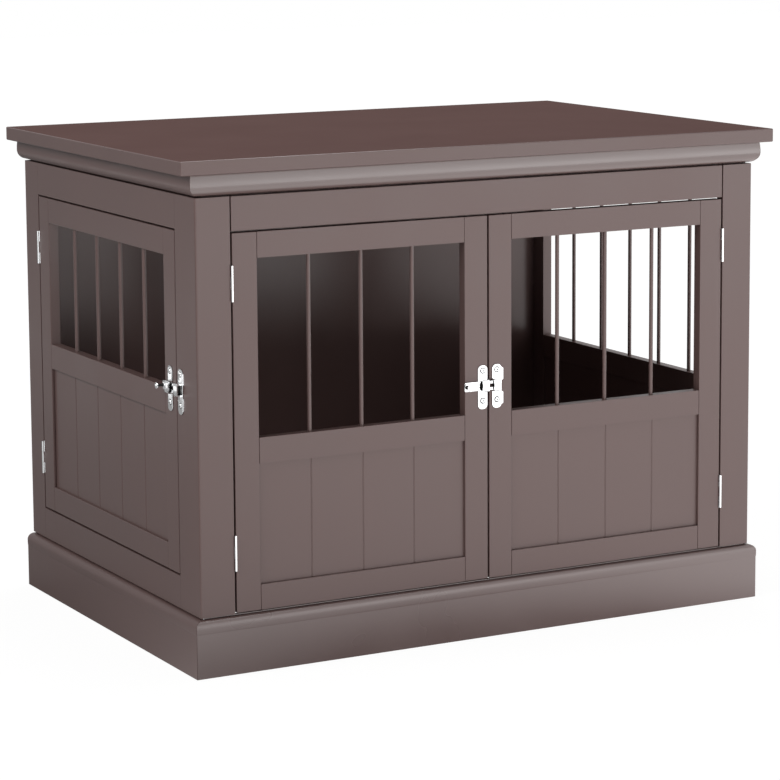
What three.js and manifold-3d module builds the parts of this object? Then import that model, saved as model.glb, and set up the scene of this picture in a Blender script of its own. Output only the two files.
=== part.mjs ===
// Dog crate end table: a painted wooden cabinet with a thick top, two barred front doors, a barred door
// on the left side and a fixed barred window on the right side. Millimetres, +Z up, front towards -Y.
// Pieces are laid out in a bench frame: x = 0 is the left face of the body, y = 0 its front face and
// z = 0 the ground. The last lines move the crate so that the origin is the middle of its base.
import * as THREE from 'three';
import { mergeVertices } from 'three/addons/utils/BufferGeometryUtils.js';
import Module from 'manifold-3d';

const wasm = await Module();
wasm.setup();

// ---------------------------------------------------------------- driving dimensions
const JOINT_GAP = 0.3; // between pieces that touch, and round a tongue or a bar in its seat
const BOARD_THICKNESS = 16;

const BODY_WIDTH = 920;
const BODY_DEPTH = 629.5;

const SLAB_THICKNESS = 20;
const CRATE_HEIGHT = 721.4;
const SLAB_FRONT_OVERHANG = 16;
const SLAB_SIDE_OVERHANG = 27.2;
const SLAB_REAR_OVERHANG = 6;
const SLAB_EASE = 1.2; // rounding of the slab's edges

// Front moulding under the slab, as [drop under the slab, offset out of the face] from the bottom up.
const CROWN_PROFILE = [
  [29.4, 0],
  [28.6, 1.5],
  [27.2, 3.1],
  [25.4, 4.6],
  [23, 6],
  [20, 7],
  [16, 7.5],
  [10, 7.4],
  [5, 7.05],
  [0, 6.5],
];
const CROWN_SIDE_RATIO = 1.44; // side moulding's offsets to the front one's
const CROWN_DEPTH = 22;
const CROWN_HEIGHT = 32.4; // from the top of the body to the slab
const CROWN_QUIRK_HEIGHT = 2; // shadow groove under the moulding
const CROWN_QUIRK_DEPTH = 8;

const PLINTH_TOP = 83.9;
const PLINTH_FRONT_PROJECTION = 7;
const PLINTH_SIDE_PROJECTION = 10.2;
const BEAD_HEIGHT = 19; // rounded bead along the top of the plinth
const BEAD_PROUD = 0.4; // beyond the plinth's front face
const PLINTH_QUIRK_HEIGHT = 1.8; // shadow groove over the bead
const PLINTH_QUIRK_DEPTH = 4;
const MOULDING_STEPS = 6; // facets of each quarter curve

const POST_FACE_WIDTH = 52.2; // front posts, seen from the front
const POST_SIDE_LEG = 51.7; // the board of each post that lies in the side wall
const POST_CORNER_RADIUS = 3;
const POST_CORNER_STEPS = 4;
const RAIL_JOINT = 1.9; // open joint between the front posts and the rail over the doors
const TOP_RAIL_HEIGHT = 48.3;
const SIDE_BOTTOM_RAIL_HEIGHT = 46.8;

const BACK_THICKNESS = 16;
const BACK_RECESS = 6; // from the rear ends of the sides
const FLOOR_THICKNESS = 16;
const FLOOR_FRONT_SETBACK = 1; // behind the closed front doors

const DOOR_GAP = 2.8;
const DOOR_FLOOR_GAP = 1.8;
const STILE_WIDTH = 37.5;
const FRONT_DOOR_RAIL = 36.3; // top and bottom rail
const FRONT_MID_RAIL = 37;
const SIDE_DOOR_RAIL = 37.3;
const SIDE_MID_RAIL = 38;
const FRONT_SILL = 330.2; // lower edge of the front windows and of the fixed window
const SIDE_SILL = 394.1;

const PANEL_THICKNESS = 8;
const PANEL_RECESS = 4.2;
const PANEL_TONGUE = 6;
const FRONT_BOARDS = 4;
const SIDE_BOARDS = 5;
const FIXED_BOARDS = 6;
const V_GROOVE_WIDTH = 2.4;
const V_GROOVE_DEPTH = 1.4;

const BAR_RADIUS = 3;
const BAR_SEAT = 10; // length of a bar inside its rail
const BAR_TIE = 2; // wire that joins the ends of the bars inside the rail
const BAR_TIE_INSET = 1.5; // wire from the ends of the bars
const BAR_SIDES = 16;

const HINGE_HEIGHT = 50;
const HINGE_BARREL_RADIUS = 1.7;
const HINGE_PIN_RADIUS = 0.85;
const HINGE_PROUD = 2.2; // hinge axis in front of the face
const HINGE_LEAF_DEPTH = 13;
const HINGE_KNUCKLE = 16.4; // half of what the two frame knuckles take
const HINGE_SIDES = 16;
const FRONT_UPPER_HINGE_DROP = 69.3; // hinge centre under the top of a front door
const FRONT_LOWER_HINGE_RISE = 85.3; // hinge centre over the bottom of a front door
const SIDE_HINGE_INSET = 78.3; // hinge centres from both ends of the side door

const PLATE_WIDTH = 15.5;
const PLATE_HEIGHT = 64;
const PLATE_THICKNESS = 1.2;
const PLATE_CORNER = 6.5;
const PLATE_DROP = 2.5; // middle of the plates under the middle of the bolt
const BRIDGE_HEIGHT = 18.5;
const BRIDGE_TOP = 8; // over the door's face
const BRIDGE_ROOF = 1.2;
const BRIDGE_SETBACK = 4.6; // from the plate's far edge
const BOLT_LENGTH = 41;
const BOLT_WIDTH = 13.2;
const BOLT_THICKNESS = 1.8;
const BOLT_CORNER = 2.5;
const FORK_SLOT_WIDTH = 5.4;
const FORK_SLOT_LENGTH = 15;
const BOLT_CLEARANCE = 0.4;
const KNOB_INSET = 3.2; // knob's axis from the tail end of the bolt
const KNOB_PROFILE = [[3, 0], [3, 0.8], [1.8, 2], [1.8, 8], [3.8, 9.6], [4.7, 10.4], [4.7, 11.4], [3.9, 12]];
const KNOB_ROOT = 0.9; // part of the knob that is sunk in the bolt
const KEEPER_INSET = 4.5; // keeper plate from the edge it stands by
const KEEPER_LIP_OVERHANG = 1.2; // lips reach this far over the gap
const KEEPER_LIP_ROOT = 2; // length of a lip inside the bridge
const KEEPER_LIP_BITE = 0.5; // lip let into the bridge's wall
const KEEPER_LIP_THICKNESS = 1.2;
const KEEPER_FLANGE_WIDTH = 3;
const KEEPER_FLANGE_THICKNESS = 0.8;
const KEEPER_FLANGE_SPAN = [8.5, 26.5]; // from the keeper's middle, up and down
const FRONT_LATCH_HEIGHT = 371.5;
const FRONT_LATCH_INSET = 0.9; // base plate from the door's edge
const FRONT_BOLT_REACH = 1.3; // drawn bolt's tip past the door's edge, short of the keeper's lips
const SIDE_LATCH_HEIGHT = 397.1;
const SIDE_LATCH_INSET = 12;
const SIDE_BOLT_REACH = 1.3;

const CUT_OVERSHOOT = 1; // how far a cutting shape runs past the face it opens

// ---------------------------------------------------------------- worked out from them
const SLAB_BOTTOM = CRATE_HEIGHT - SLAB_THICKNESS;
const BODY_TOP = SLAB_BOTTOM - CROWN_HEIGHT;
const POST_BOTTOM = PLINTH_TOP + JOINT_GAP;
const TOP_RAIL_BOTTOM = BODY_TOP - TOP_RAIL_HEIGHT;
const SIDE_BOTTOM_RAIL_TOP = POST_BOTTOM + SIDE_BOTTOM_RAIL_HEIGHT;
const DOOR_TOP = TOP_RAIL_BOTTOM - DOOR_GAP;
const FRONT_DOOR_BOTTOM = PLINTH_TOP + DOOR_FLOOR_GAP;
const SIDE_DOOR_BOTTOM = SIDE_BOTTOM_RAIL_TOP + DOOR_GAP;
const FRONT_DOOR_WIDTH = (BODY_WIDTH - 2 * POST_FACE_WIDTH - 3 * DOOR_GAP) / 2;
const SIDE_OPENING_START = BOARD_THICKNESS + POST_SIDE_LEG;
const SIDE_OPENING_END = BODY_DEPTH - POST_SIDE_LEG;
const SIDE_DOOR_WIDTH = SIDE_OPENING_END - SIDE_OPENING_START - 2 * DOOR_GAP;
const INNER_BACK = BODY_DEPTH - BACK_RECESS - BACK_THICKNESS;

// ---------------------------------------------------------------- materials
function paint() {
  return new THREE.MeshStandardMaterial({ color: 0x7b6a67, roughness: 0.45, metalness: 0 });
}

function barPaint() {
  return new THREE.MeshStandardMaterial({ color: 0x6f5f5c, roughness: 0.4, metalness: 0.1 });
}

function brightMetal() {
  return new THREE.MeshStandardMaterial({ color: 0xe6e8e8, roughness: 0.15, metalness: 1 });
}

// ---------------------------------------------------------------- helpers
function box(xSpan, ySpan, zSpan) {
  const geometry = new THREE.BoxGeometry(xSpan[1] - xSpan[0], ySpan[1] - ySpan[0], zSpan[1] - zSpan[0]);
  return geometry.translate(
    (xSpan[0] + xSpan[1]) / 2,
    (ySpan[0] + ySpan[1]) / 2,
    (zSpan[0] + zSpan[1]) / 2,
  );
}

function upright(radius, sides, zSpan) {
  const geometry = new THREE.CylinderGeometry(radius, radius, zSpan[1] - zSpan[0], sides);
  return geometry.rotateX(Math.PI / 2).translate(0, 0, (zSpan[0] + zSpan[1]) / 2);
}

function outlineShape(points) {
  return new THREE.Shape(points.map(([x, y]) => new THREE.Vector2(x, y)));
}

function extrude(shape, length) {
  return new THREE.ExtrudeGeometry(shape, { depth: length, bevelEnabled: false, curveSegments: 5 });
}

function toSolid(geometry) {
  const bare = geometry.clone();
  bare.deleteAttribute('normal');
  bare.deleteAttribute('uv');
  const merged = mergeVertices(bare);
  const vertProperties = new Float32Array(merged.attributes.position.array);
  const triVerts = new Uint32Array(merged.index.array);
  return new wasm.Manifold(new wasm.Mesh({ numProp: 3, vertProperties, triVerts }));
}

function toGeometry(solid) {
  const { vertProperties, triVerts } = solid.getMesh();
  const geometry = new THREE.BufferGeometry();
  geometry.setAttribute('position', new THREE.BufferAttribute(vertProperties, 3));
  geometry.setIndex(new THREE.BufferAttribute(triVerts, 1));
  const faceted = geometry.toNonIndexed();
  faceted.computeVertexNormals();
  return faceted;
}

function cut(geometry, cutters) {
  return toGeometry(cutters.reduce((solid, cutter) => solid.subtract(toSolid(cutter)), toSolid(geometry)));
}

function join(geometries) {
  return toGeometry(geometries.map(toSolid).reduce((sum, solid) => sum.add(solid)));
}

function addPiece(group, name, geometry, material) {
  const mesh = new THREE.Mesh(geometry, material);
  mesh.name = name;
  group.add(mesh);
  return mesh;
}

function grown(span, amount) {
  return [span[0] - amount, span[1] + amount];
}

function roundedPlateShape(width, height, corner) {
  const shape = new THREE.Shape();
  const right = width / 2;
  const top = height / 2;
  shape.moveTo(-right + corner, -top);
  shape.lineTo(right - corner, -top);
  shape.absarc(right - corner, -top + corner, corner, -Math.PI / 2, 0);
  shape.lineTo(right, top - corner);
  shape.absarc(right - corner, top - corner, corner, 0, Math.PI / 2);
  shape.lineTo(-right + corner, top);
  shape.absarc(-right + corner, top - corner, corner, Math.PI / 2, Math.PI);
  shape.lineTo(-right, -top + corner);
  shape.absarc(-right + corner, -top + corner, corner, Math.PI, 1.5 * Math.PI);
  return shape;
}

// ---------------------------------------------------------------- barred windows and boarded panels
// Bars stand at equal steps across an opening. A thin wire inside each rail ties their ends together.
function barCentres(xSpan, gaps) {
  const step = (xSpan[1] - xSpan[0]) / gaps;
  return Array.from({ length: gaps - 1 }, (_, index) => xSpan[0] + (index + 1) * step);
}

function barGrille(xSpan, zSpan, gaps, allowance = 0) {
  const centres = barCentres(xSpan, gaps);
  const depth = BOARD_THICKNESS / 2;
  const ends = grown(zSpan, BAR_SEAT + allowance);
  const bars = centres.map((x) => upright(BAR_RADIUS + allowance, BAR_SIDES, ends).translate(x, depth, 0));
  const tieX = grown([centres[0], centres[centres.length - 1]], allowance);
  const tieY = grown([depth - BAR_TIE / 2, depth + BAR_TIE / 2], allowance);
  const tieCentres = grown(zSpan, BAR_SEAT - BAR_TIE_INSET - BAR_TIE / 2);
  const ties = tieCentres.map((z) => box(tieX, tieY, grown([z, z], BAR_TIE / 2 + allowance)));
  return join([...bars, ...ties]);
}

function panelEnvelope(xSpan, zSpan) {
  const ySpan = [PANEL_RECESS, PANEL_RECESS + PANEL_THICKNESS];
  return box(
    grown(xSpan, PANEL_TONGUE + JOINT_GAP),
    grown(ySpan, JOINT_GAP),
    grown(zSpan, PANEL_TONGUE + JOINT_GAP),
  );
}

function boardedPanel(xSpan, zSpan, boards) {
  const [left, right] = grown(xSpan, PANEL_TONGUE);
  const front = PANEL_RECESS;
  const back = PANEL_RECESS + PANEL_THICKNESS;
  const points = [[left, front]];
  for (const x of barCentres(xSpan, boards)) {
    points.push([x - V_GROOVE_WIDTH / 2, front]);
    points.push([x, front + V_GROOVE_DEPTH]);
    points.push([x + V_GROOVE_WIDTH / 2, front]);
  }
  points.push([right, front]);
  points.push([right, back]);
  points.push([left, back]);
  const [bottom, top] = grown(zSpan, PANEL_TONGUE);
  return extrude(outlineShape(points), top - bottom).translate(0, 0, bottom);
}

// ---------------------------------------------------------------- hinges
// A hinge is built round its own axis: the frame lies towards -x, the door towards +x, the wood at +y.
// Its two leaves stand side by side in the gap, each on the edge of its own board.
function hingeLeafBox(side, zSpan, ySpan) {
  const near = JOINT_GAP / 2;
  const far = DOOR_GAP / 2 - JOINT_GAP;
  return side < 0 ? box([-far, -near], ySpan, zSpan) : box([near, far], ySpan, zSpan);
}

function hingeLeaf(side, knuckleSpans) {
  const half = HINGE_HEIGHT / 2;
  const leaf = hingeLeafBox(side, [-half, half], [HINGE_PROUD + JOINT_GAP, HINGE_PROUD + HINGE_LEAF_DEPTH]);
  const tabs = knuckleSpans.map((span) => hingeLeafBox(side, span, [0, HINGE_PROUD + 2 * JOINT_GAP]));
  const knuckles = knuckleSpans.map((span) => upright(HINGE_BARREL_RADIUS, HINGE_SIDES, span));
  return join([leaf, ...tabs, ...knuckles]);
}

function frameLeaf() {
  const half = HINGE_HEIGHT / 2;
  const leaf = hingeLeaf(-1, [[-half, -half + HINGE_KNUCKLE], [half - HINGE_KNUCKLE, half]]);
  return join([leaf, upright(HINGE_PIN_RADIUS, HINGE_SIDES, [-half + JOINT_GAP, half - JOINT_GAP])]);
}

function doorLeaf() {
  const reach = HINGE_HEIGHT / 2 - HINGE_KNUCKLE - JOINT_GAP;
  const bore = upright(HINGE_PIN_RADIUS + JOINT_GAP, HINGE_SIDES, grown([-reach, reach], CUT_OVERSHOOT));
  return cut(hingeLeaf(1, [[-reach, reach]]), [bore]);
}

function addHinge(group, prefix, axisX, zCentre, turned) {
  const hinge = new THREE.Group();
  hinge.position.set(axisX, -HINGE_PROUD, zCentre);
  hinge.rotation.y = turned ? Math.PI : 0;
  addPiece(hinge, `${prefix}_frame_leaf`, frameLeaf(), brightMetal());
  addPiece(hinge, `${prefix}_door_leaf`, doorLeaf(), brightMetal());
  group.add(hinge);
}

// ---------------------------------------------------------------- latches
// Latch pieces are built with x along the bolt's throw, y out of the face and z down the plates.
const BOLT_BOTTOM = PLATE_THICKNESS + JOINT_GAP;
const BOLT_TOP = BOLT_BOTTOM + BOLT_THICKNESS;
const CHANNEL_HALF = BOLT_WIDTH / 2 + BOLT_CLEARANCE;

function latchPlate() {
  const plate = extrude(roundedPlateShape(PLATE_WIDTH, PLATE_HEIGHT, PLATE_CORNER), PLATE_THICKNESS);
  return plate.rotateX(Math.PI / 2).translate(0, PLATE_THICKNESS, PLATE_DROP);
}

function bridgedPlate(bridgeX) {
  const half = BRIDGE_HEIGHT / 2;
  const bridge = box(bridgeX, [PLATE_THICKNESS / 2, BRIDGE_TOP], [-half, half]);
  const channel = box(
    grown(bridgeX, CUT_OVERSHOOT),
    [PLATE_THICKNESS, BRIDGE_TOP - BRIDGE_ROOF],
    [-CHANNEL_HALF, CHANNEL_HALF],
  );
  return cut(join([latchPlate(), bridge]), [channel]);
}

function baseGeometry() {
  return bridgedPlate([-PLATE_WIDTH / 2 + BRIDGE_SETBACK, PLATE_WIDTH / 2]);
}

function keeperGeometry() {
  const near = -PLATE_WIDTH / 2;
  const lipStart = near - KEEPER_INSET - KEEPER_LIP_OVERHANG;
  const lipBottom = BOLT_TOP + BOLT_CLEARANCE;
  const lipY = [lipBottom, lipBottom + KEEPER_LIP_THICKNESS];
  const lips = [1, -1].map((side) => {
    const zSpan = [side * FORK_SLOT_WIDTH / 2, side * (CHANNEL_HALF + KEEPER_LIP_BITE)].sort((a, b) => a - b);
    return box([lipStart, near + KEEPER_LIP_ROOT], lipY, zSpan);
  });
  const flanges = [1, -1].map((side) => {
    const zSpan = KEEPER_FLANGE_SPAN.map((z) => PLATE_DROP + side * z).sort((a, b) => a - b);
    return box([0, PLATE_WIDTH / 2 + KEEPER_FLANGE_WIDTH], [0, KEEPER_FLANGE_THICKNESS], zSpan);
  });
  return join([bridgedPlate([near, PLATE_WIDTH / 2 - BRIDGE_SETBACK]), ...lips, ...flanges]);
}

function knobGeometry() {
  const profile = KNOB_PROFILE.map(([radius, height]) => [radius, BOLT_TOP + height]);
  profile[0][1] -= KNOB_ROOT;
  const bottom = profile[0][1];
  const top = profile[profile.length - 1][1];
  const closed = [[0, bottom], ...profile, [0, top]];
  return new THREE.LatheGeometry(closed.map(([r, y]) => new THREE.Vector2(r, y)), HINGE_SIDES);
}

// The bolt's tip is at x = 0 and its tail at -BOLT_LENGTH.
function boltGeometry() {
  const bar = extrude(roundedPlateShape(BOLT_LENGTH, BOLT_WIDTH, BOLT_CORNER), BOLT_THICKNESS);
  bar.rotateX(Math.PI / 2).translate(-BOLT_LENGTH / 2, BOLT_TOP, 0);
  const slot = box(
    [-FORK_SLOT_LENGTH, CUT_OVERSHOOT],
    [0, BRIDGE_TOP],
    [-FORK_SLOT_WIDTH / 2, FORK_SLOT_WIDTH / 2],
  );
  const knob = knobGeometry().translate(-BOLT_LENGTH + KNOB_INSET, 0, 0);
  return join([cut(bar, [slot]), knob]);
}

// At rest the fork is drawn back out of the keeper, so the door is free to open.
function addLatch(group, prefix, { doorWidth, baseInset, boltReach, height }) {
  const latch = new THREE.Group();
  latch.position.set(doorWidth, 0, height);
  latch.rotation.x = Math.PI;
  const base = addPiece(latch, `${prefix}_latch_base`, baseGeometry(), brightMetal());
  base.position.x = -baseInset - PLATE_WIDTH / 2;
  const bolt = addPiece(latch, `${prefix}_latch_bolt`, boltGeometry(), brightMetal());
  bolt.position.x = boltReach;
  const keeper = addPiece(latch, `${prefix}_latch_keeper`, keeperGeometry(), brightMetal());
  keeper.position.x = DOOR_GAP + KEEPER_INSET + PLATE_WIDTH / 2;
  group.add(latch);
}

// ---------------------------------------------------------------- doors
// A door is built with its lower edge at z = 0, its face at y = 0 and x from 0 to its width.
function buildDoor({ prefix, width, height, rail, midRailHeight, sill, gaps, hingeAtEnd, hingeHeights }) {
  const door = new THREE.Group();
  const opening = [STILE_WIDTH, width - STILE_WIDTH];
  const windowSpan = [sill, height - rail];
  const panelSpan = [rail, sill - midRailHeight];
  const depth = [0, BOARD_THICKNESS];
  const railX = grown(opening, -JOINT_GAP);
  const sockets = barGrille(opening, windowSpan, gaps, JOINT_GAP);
  const groove = panelEnvelope(opening, panelSpan);

  const edge = hingeAtEnd ? width : 0;
  const inward = hingeAtEnd ? -1 : 1;
  const lowStile = box([0, STILE_WIDTH], depth, [0, height]);
  const highStile = box([width - STILE_WIDTH, width], depth, [0, height]);
  const [hingeStile, latchStile] = hingeAtEnd ? [highStile, lowStile] : [lowStile, highStile];

  const topRail = box(railX, depth, [height - rail, height]);
  const midRail = box(railX, depth, [sill - midRailHeight, sill]);
  const bottomRail = box(railX, depth, [0, rail]);

  addPiece(door, `${prefix}_hinge_stile`, cut(hingeStile, [groove]), paint());
  addPiece(door, `${prefix}_latch_stile`, cut(latchStile, [groove]), paint());
  addPiece(door, `${prefix}_top_rail`, cut(topRail, [sockets]), paint());
  addPiece(door, `${prefix}_mid_rail`, cut(midRail, [sockets, groove]), paint());
  addPiece(door, `${prefix}_bottom_rail`, cut(bottomRail, [groove]), paint());
  addPiece(door, `${prefix}_panel`, boardedPanel(opening, panelSpan, gaps), paint());
  addPiece(door, `${prefix}_bars`, barGrille(opening, windowSpan, gaps), barPaint());

  const axisX = edge - inward * DOOR_GAP / 2;
  const names = ['lower', 'upper'];
  hingeHeights.forEach((z, index) => {
    addHinge(door, `${prefix}_${names[index]}_hinge`, axisX, z, hingeAtEnd);
  });
  return door;
}

const FRONT_DOOR_HEIGHT = DOOR_TOP - FRONT_DOOR_BOTTOM;
const SIDE_DOOR_HEIGHT = DOOR_TOP - SIDE_DOOR_BOTTOM;
const FRONT_HINGES = [FRONT_LOWER_HINGE_RISE, FRONT_DOOR_HEIGHT - FRONT_UPPER_HINGE_DROP];
const SIDE_HINGES = [SIDE_HINGE_INSET, SIDE_DOOR_HEIGHT - SIDE_HINGE_INSET];

function buildFrontDoor(prefix, x, hingeAtEnd) {
  const door = buildDoor({
    prefix,
    width: FRONT_DOOR_WIDTH,
    height: FRONT_DOOR_HEIGHT,
    rail: FRONT_DOOR_RAIL,
    midRailHeight: FRONT_MID_RAIL,
    sill: FRONT_SILL - FRONT_DOOR_BOTTOM,
    gaps: FRONT_BOARDS,
    hingeAtEnd,
    hingeHeights: FRONT_HINGES,
  });
  door.position.set(x, 0, FRONT_DOOR_BOTTOM);
  return door;
}

function buildSideDoor() {
  const door = buildDoor({
    prefix: 'side_door',
    width: SIDE_DOOR_WIDTH,
    height: SIDE_DOOR_HEIGHT,
    rail: SIDE_DOOR_RAIL,
    midRailHeight: SIDE_MID_RAIL,
    sill: SIDE_SILL - SIDE_DOOR_BOTTOM,
    gaps: SIDE_BOARDS,
    hingeAtEnd: false,
    hingeHeights: SIDE_HINGES,
  });
  door.position.set(0, SIDE_OPENING_END - DOOR_GAP, SIDE_DOOR_BOTTOM);
  door.rotation.z = -Math.PI / 2;
  return door;
}

// ---------------------------------------------------------------- mouldings
// An outline is a list of [offset out of the body's face, height]. It is run along the face, and each
// mitred end is cut on the line that joins the body's corner to the corner of the moulding.
function runMoulding(outline, length, slopes) {
  const geometry = extrude(outlineShape(outline), length);
  const position = geometry.attributes.position;
  for (let index = 0; index < position.count; index += 1) {
    const atStart = position.getZ(index) < length / 2;
    const slope = atStart ? -slopes[0] : slopes[1];
    position.setZ(index, position.getZ(index) + slope * position.getX(index));
  }
  return geometry;
}

function placeMoulding(geometry, outward, start) {
  const up = new THREE.Vector3(0, 0, 1);
  const along = new THREE.Vector3().crossVectors(outward, up);
  const place = new THREE.Matrix4().makeBasis(outward, up, along).setPosition(start);
  return geometry.applyMatrix4(place);
}

function crownOutline(ratio) {
  const bottom = BODY_TOP + JOINT_GAP;
  const top = SLAB_BOTTOM - JOINT_GAP;
  const lip = bottom + CROWN_QUIRK_HEIGHT;
  const inner = Math.max(...CROWN_PROFILE.map(([, offset]) => offset)) * ratio - CROWN_DEPTH;
  const face = CROWN_PROFILE.map(([drop, offset]) => [offset * ratio, top - drop]);
  return [[inner, bottom], [-CROWN_QUIRK_DEPTH, bottom], [-CROWN_QUIRK_DEPTH, lip], ...face, [inner, top]];
}

function plinthOutline(projection, stretch) {
  const inner = projection - BOARD_THICKNESS;
  const beadTop = PLINTH_TOP - PLINTH_QUIRK_HEIGHT;
  const beadMiddle = beadTop - BEAD_HEIGHT / 2;
  const proud = BEAD_PROUD * stretch;
  const points = [[inner, 0], [projection, 0]];
  for (let step = 0; step <= MOULDING_STEPS; step += 1) {
    const angle = (step / MOULDING_STEPS) * Math.PI / 2;
    points.push([projection + proud * Math.sin(angle), beadMiddle - (BEAD_HEIGHT / 2) * Math.cos(angle)]);
  }
  for (let step = 1; step <= MOULDING_STEPS; step += 1) {
    const angle = (step / MOULDING_STEPS) * Math.PI / 2;
    points.push([(projection + proud) * Math.cos(angle), beadMiddle + (BEAD_HEIGHT / 2) * Math.sin(angle)]);
  }
  points.push([-PLINTH_QUIRK_DEPTH, beadTop]);
  points.push([-PLINTH_QUIRK_DEPTH, PLINTH_TOP]);
  points.push([inner, PLINTH_TOP]);
  return points;
}

// Front, left and right runs. The front one takes both mitres, the others one at their front end.
function addMitredRuns(group, name, frontOutline, sideOutline, ratio, rearEnd) {
  const left = new THREE.Vector3(-1, 0, 0);
  const right = new THREE.Vector3(1, 0, 0);
  const front = new THREE.Vector3(0, -1, 0);
  const frontStart = new THREE.Vector3(BODY_WIDTH - JOINT_GAP, 0, 0);
  const frontRun = runMoulding(frontOutline, BODY_WIDTH - 2 * JOINT_GAP, [ratio, ratio]);
  const leftRun = runMoulding(sideOutline, rearEnd, [1 / ratio, 0]);
  const rightRun = runMoulding(sideOutline, rearEnd, [0, 1 / ratio]);
  const rightStart = new THREE.Vector3(BODY_WIDTH, rearEnd, 0);
  addPiece(group, `${name}_front`, placeMoulding(frontRun, front, frontStart), paint());
  addPiece(group, `${name}_left`, placeMoulding(leftRun, left, new THREE.Vector3()), paint());
  addPiece(group, `${name}_right`, placeMoulding(rightRun, right, rightStart), paint());
}

// ---------------------------------------------------------------- carcass
function addTop(group) {
  const xSpan = grown([0, BODY_WIDTH], SLAB_SIDE_OVERHANG - SLAB_EASE);
  const front = -SLAB_FRONT_OVERHANG + SLAB_EASE;
  const rear = BODY_DEPTH + SLAB_REAR_OVERHANG - SLAB_EASE;
  const shape = outlineShape([[xSpan[0], front], [xSpan[1], front], [xSpan[1], rear], [xSpan[0], rear]]);
  const slab = new THREE.ExtrudeGeometry(shape, {
    depth: SLAB_THICKNESS - 2 * SLAB_EASE,
    bevelEnabled: true,
    bevelSize: SLAB_EASE,
    bevelThickness: SLAB_EASE,
    bevelSegments: 2,
  });
  addPiece(group, 'table_top', slab.translate(0, 0, SLAB_BOTTOM + SLAB_EASE), paint());

  addMitredRuns(
    group,
    'crown',
    crownOutline(1),
    crownOutline(CROWN_SIDE_RATIO),
    CROWN_SIDE_RATIO,
    BODY_DEPTH + SLAB_REAR_OVERHANG,
  );
}

function addPlinth(group) {
  const ratio = PLINTH_SIDE_PROJECTION / PLINTH_FRONT_PROJECTION;
  addMitredRuns(
    group,
    'plinth',
    plinthOutline(PLINTH_FRONT_PROJECTION, 1),
    plinthOutline(PLINTH_SIDE_PROJECTION, ratio),
    ratio,
    BODY_DEPTH,
  );
}

function sideWallBox(isRight, ySpan, zSpan) {
  const xSpan = isRight ? [BODY_WIDTH - BOARD_THICKNESS, BODY_WIDTH] : [0, BOARD_THICKNESS];
  return box(xSpan, ySpan, zSpan);
}

function frontPostGeometry(isRight) {
  const t = BOARD_THICKNESS;
  const w = POST_FACE_WIDTH;
  const d = SIDE_OPENING_START;
  const r = POST_CORNER_RADIUS;
  const corner = Array.from({ length: POST_CORNER_STEPS + 1 }, (_, step) => {
    const angle = Math.PI + (step / POST_CORNER_STEPS) * Math.PI / 2;
    return [r + r * Math.cos(angle), r + r * Math.sin(angle)];
  });
  const leftPoints = [...corner, [w, 0], [w, t], [t, t], [t, d], [0, d]];
  const points = isRight ? leftPoints.map(([x, y]) => [BODY_WIDTH - x, y]).reverse() : leftPoints;
  return extrude(outlineShape(points), BODY_TOP - POST_BOTTOM).translate(0, 0, POST_BOTTOM);
}

// The fixed right side is drawn like a door and then turned to face +x.
const FIXED_OPENING = [SIDE_OPENING_START, SIDE_OPENING_END];
const FIXED_WINDOW = [FRONT_SILL, TOP_RAIL_BOTTOM];
const FIXED_PANEL = [SIDE_BOTTOM_RAIL_TOP, FRONT_SILL - FRONT_MID_RAIL];

function facingRight(object) {
  object.rotateZ(Math.PI / 2);
  return object;
}

function fixedGroove() {
  return facingRight(panelEnvelope(FIXED_OPENING, FIXED_PANEL)).translate(BODY_WIDTH, 0, 0);
}

function addPosts(group) {
  addPiece(group, 'post_front_left', frontPostGeometry(false), paint());
  addPiece(group, 'post_front_right', cut(frontPostGeometry(true), [fixedGroove()]), paint());

  const rearSpan = [SIDE_OPENING_END, BODY_DEPTH];
  const zSpan = [POST_BOTTOM, BODY_TOP];
  addPiece(group, 'post_rear_left', sideWallBox(false, rearSpan, zSpan), paint());
  addPiece(group, 'post_rear_right', cut(sideWallBox(true, rearSpan, zSpan), [fixedGroove()]), paint());
}

function addFixedRails(group) {
  const ySpan = grown(FIXED_OPENING, -JOINT_GAP);
  const topSpan = [TOP_RAIL_BOTTOM, BODY_TOP];
  const bottomSpan = [POST_BOTTOM, SIDE_BOTTOM_RAIL_TOP];
  const frontRailX = [POST_FACE_WIDTH + RAIL_JOINT, BODY_WIDTH - POST_FACE_WIDTH - RAIL_JOINT];
  addPiece(group, 'front_top_rail', box(frontRailX, [0, BOARD_THICKNESS], topSpan), paint());
  addPiece(group, 'left_top_rail', sideWallBox(false, ySpan, topSpan), paint());
  addPiece(group, 'left_bottom_rail', sideWallBox(false, ySpan, bottomSpan), paint());
}

function addFixedWindow(group) {
  const wall = facingRight(new THREE.Group());
  wall.position.x = BODY_WIDTH;
  const railX = grown(FIXED_OPENING, -JOINT_GAP);
  const depth = [0, BOARD_THICKNESS];
  const topRail = box(railX, depth, [TOP_RAIL_BOTTOM, BODY_TOP]);
  const midRail = box(railX, depth, [FIXED_PANEL[1], FIXED_WINDOW[0]]);
  const bottomRail = box(railX, depth, [POST_BOTTOM, SIDE_BOTTOM_RAIL_TOP]);
  const sockets = barGrille(FIXED_OPENING, FIXED_WINDOW, FIXED_BOARDS, JOINT_GAP);
  const groove = panelEnvelope(FIXED_OPENING, FIXED_PANEL);
  addPiece(wall, 'right_top_rail', cut(topRail, [sockets]), paint());
  addPiece(wall, 'right_mid_rail', cut(midRail, [sockets, groove]), paint());
  addPiece(wall, 'right_bottom_rail', cut(bottomRail, [groove]), paint());
  addPiece(wall, 'right_panel', boardedPanel(FIXED_OPENING, FIXED_PANEL, FIXED_BOARDS), paint());
  addPiece(wall, 'right_window_bars', barGrille(FIXED_OPENING, FIXED_WINDOW, FIXED_BOARDS), barPaint());
  group.add(wall);
}

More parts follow.
